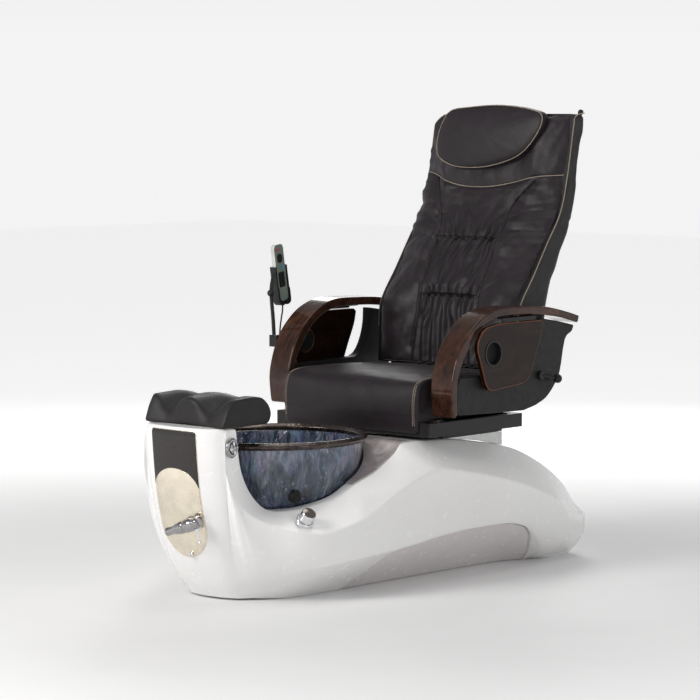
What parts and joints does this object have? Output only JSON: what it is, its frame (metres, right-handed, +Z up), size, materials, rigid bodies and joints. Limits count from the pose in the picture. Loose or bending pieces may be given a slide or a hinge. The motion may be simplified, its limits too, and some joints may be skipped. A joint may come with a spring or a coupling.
{
  "type": "pedicure spa chair",
  "caption": "Pedicure spa chair: padded reclining massage seat with curved wooden arms and fold-up cup trays on a moulded base with a round foot basin, column footrest and mixer tap.",
  "frame": {"origin": "on the floor, under the middle of the whole chair with the seat forward and the back upright", "axes": "+Z up; the sitter faces -Y, so the footrest column is at the -Y end; the sitter's left hand is at +X"},
  "size_m": [0.872, 1.6792, 1.5007],
  "materials": {
    "white_gelcoat": "gloss",
    "panel_gelcoat": "satin",
    "black_gloss": "gloss",
    "black_plastic": "satin",
    "champagne_mirror": "polished",
    "pearl_glass": "gloss",
    "pearl_deck": "gloss",
    "bronze_rim": "satin",
    "chrome": "polished",
    "zinc": "satin",
    "leather": "satin",
    "lacquered_wood": "gloss",
    "board_black": "matte",
    "handset_silver": "satin",
    "red_key": "satin",
    "blue_key": "satin",
    "rubber": "matte"
  },
  "bodies": {
    "base": {"base_shell": "white_gelcoat", "access_panel_left": "panel_gelcoat", "access_panel_right": "panel_gelcoat", "floor_pan": "zinc", "levelling_foot_front_left": "rubber", "levelling_foot_front_right": "rubber", "levelling_foot_rear_left": "rubber", "levelling_foot_rear_right": "rubber", "front_plate": "champagne_mirror", "front_panel": "black_gloss", "mixer_body": "chrome", "diverter_bezel": "chrome", "drain_knob_bezel": "chrome", "basin_bowl": "pearl_glass", "basin_rim": "bronze_rim", "drain_fitting": "chrome", "jet_housing": "black_plastic", "basin_pedestal": "zinc", "basin_apron": "pearl_deck", "control_box": "black_plastic", "drain_pump": "black_plastic", "footrest_bracket": "zinc", "footrest_pad": "leather", "slide_rail_left": "zinc", "slide_rail_right": "zinc"},
    "seat": {"seat_carriage": "black_plastic", "seat_frame": "black_plastic", "seat_cushion": "leather", "armrest_left": "lacquered_wood", "armrest_right": "lacquered_wood", "side_board_left": "board_black", "side_board_right": "board_black", "tray_hinge_left": "zinc", "tray_hinge_right": "zinc", "recline_shaft": "zinc", "recline_actuator": "black_plastic", "remote_bracket": "black_plastic", "lead_grommet": "rubber", "remote_lead": "rubber"},
    "backrest": {"backrest_shell": "black_plastic", "backrest_cushion": "leather", "head_pillow": "leather", "massage_screw": "zinc"},
    "massage_rollers": {"massage_carriage": "black_plastic"},
    "tray_left": {"tray_left": "lacquered_wood"},
    "tray_right": {"tray_right": "lacquered_wood"},
    "recline_lever": {"recline_lever": "black_plastic"},
    "drain_knob": {"drain_knob": "chrome"},
    "diverter_knob": {"diverter_knob": "chrome"},
    "mixer_lever": {"mixer_lever": "chrome"},
    "spray_head": {"spray_head": "chrome"},
    "plate_key": {"plate_key": "chrome"},
    "remote_holder": {"remote_pole": "black_plastic", "remote_cradle": "black_plastic", "remote_body": "handset_silver", "remote_gland": "rubber"},
    "power_key": {"power_key": "red_key"},
    "nav_pad": {"nav_pad": "rubber"},
    "heat_key": {"heat_key": "blue_key"},
    "function_keys": {"function_keys": "rubber"}
  },
  "joints": [
    {"name": "seat_slide", "type": "slide", "parent": "base", "child": "seat", "axis": [0, 1, 0], "range_m": [0, 0.12]},
    {"name": "backrest_recline", "type": "hinge", "parent": "seat", "child": "backrest", "pos_m": [0, 0.5, 0.575], "axis": [-1, 0, 0], "range_deg": [0, 32]},
    {"name": "massage_travel", "type": "slide", "parent": "backrest", "child": "massage_rollers", "axis": [0, 0.4449, 0.8956], "range_m": [0, 0.18]},
    {"name": "tray_left_swing", "type": "hinge", "parent": "seat", "child": "tray_left", "pos_m": [0.4065, 0.335, 0.8196], "axis": [0, -1, 0], "range_deg": [0, 90]},
    {"name": "tray_right_swing", "type": "hinge", "parent": "seat", "child": "tray_right", "pos_m": [-0.4065, 0.335, 0.8196], "axis": [0, 1, 0], "range_deg": [0, 90]},
    {"name": "recline_lever_pull", "type": "hinge", "parent": "seat", "child": "recline_lever", "pos_m": [0.39, 0.464, 0.632], "axis": [1, 0, 0], "range_deg": [0, 25], "stiffness_Nm_per_rad": 1, "springref_deg": -17.19},
    {"name": "drain_knob_turn", "type": "hinge", "parent": "base", "child": "drain_knob", "pos_m": [0.289, -0.552, 0.252], "axis": [0.6789, -0.1498, 0.7188], "range_deg": [0, 90]},
    {"name": "diverter_turn", "type": "hinge", "parent": "base", "child": "diverter_knob", "pos_m": [0.1758, -0.752, 0.483], "axis": [0.9861, 0.166, 0], "range_deg": [0, 90]},
    {"name": "mixer_lever_turn", "type": "hinge", "parent": "base", "child": "mixer_lever", "pos_m": [0.046, -0.82489, 0.24], "axis": [0.9553, 0, 0.2955], "range_deg": [-25, 25]},
    {"name": "spray_pull", "type": "slide", "parent": "base", "child": "spray_head", "axis": [-0.9553, 0, -0.2955], "range_m": [0, 0.12]},
    {"name": "plate_key_turn", "type": "hinge", "parent": "base", "child": "plate_key", "pos_m": [0.02, -0.77359, 0.146], "axis": [0, -1, 0], "range_deg": [0, 90]},
    {"name": "remote_swivel", "type": "hinge", "parent": "seat", "child": "remote_holder", "pos_m": [-0.42, 0.062, 0.78], "axis": [0, 0, 1], "range_deg": [-5, 30]},
    {"name": "power_key_press", "type": "slide", "parent": "remote_holder", "child": "power_key", "axis": [-1, 0, 0], "range_m": [0, 0.0012], "stiffness_N_per_m": 300, "springref_m": -0.001},
    {"name": "nav_pad_press", "type": "slide", "parent": "remote_holder", "child": "nav_pad", "axis": [-1, 0, 0], "range_m": [0, 0.0012], "stiffness_N_per_m": 300, "springref_m": -0.001},
    {"name": "heat_key_press", "type": "slide", "parent": "remote_holder", "child": "heat_key", "axis": [-1, 0, 0], "range_m": [0, 0.0012], "stiffness_N_per_m": 300, "springref_m": -0.001},
    {"name": "function_keys_press", "type": "slide", "parent": "remote_holder", "child": "function_keys", "axis": [-1, 0, 0], "range_m": [0, 0.0012], "stiffness_N_per_m": 300, "springref_m": -0.001}
  ]
}
